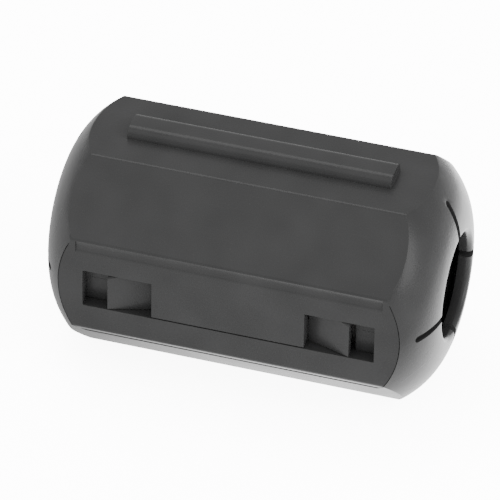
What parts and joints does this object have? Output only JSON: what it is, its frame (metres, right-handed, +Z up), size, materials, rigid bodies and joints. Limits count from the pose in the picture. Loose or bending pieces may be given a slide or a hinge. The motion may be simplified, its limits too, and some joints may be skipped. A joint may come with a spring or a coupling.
{
  "type": "clip-on ferrite bead",
  "caption": "Eight-sided plastic case with domed ends that opens on a living hinge and clips split ferrite cores round a cable to damp radio noise.",
  "frame": {"origin": "middle of the cable passage, on its axis and on the plane where the two halves part", "axes": "+X along the cable, -Y towards the latch side, +Y towards the living hinge, +Z up through the crown rib"},
  "size_m": [0.0346, 0.0199, 0.0206],
  "materials": {
    "case": "black moulded polyamide, satin",
    "ferrite": "dark grey sintered ferrite, ground flat on the mating faces"
  },
  "bodies": {
    "lower_half": {"lower_case": "case", "latch_finger_left": "case", "latch_finger_right": "case", "hinge_strap_left": "case", "hinge_strap_right": "case", "lower_core": "ferrite"},
    "upper_half": {"upper_case": "case", "upper_core": "ferrite"}
  },
  "joints": [
    {"name": "case_hinge", "type": "hinge", "parent": "lower_half", "child": "upper_half", "pos_m": [0, 0.00995, 0], "axis": [-1, 0, 0], "range_deg": [0, 150], "deforming": ["latch_finger_left", "latch_finger_right", "hinge_strap_left", "hinge_strap_right"]}
  ]
}
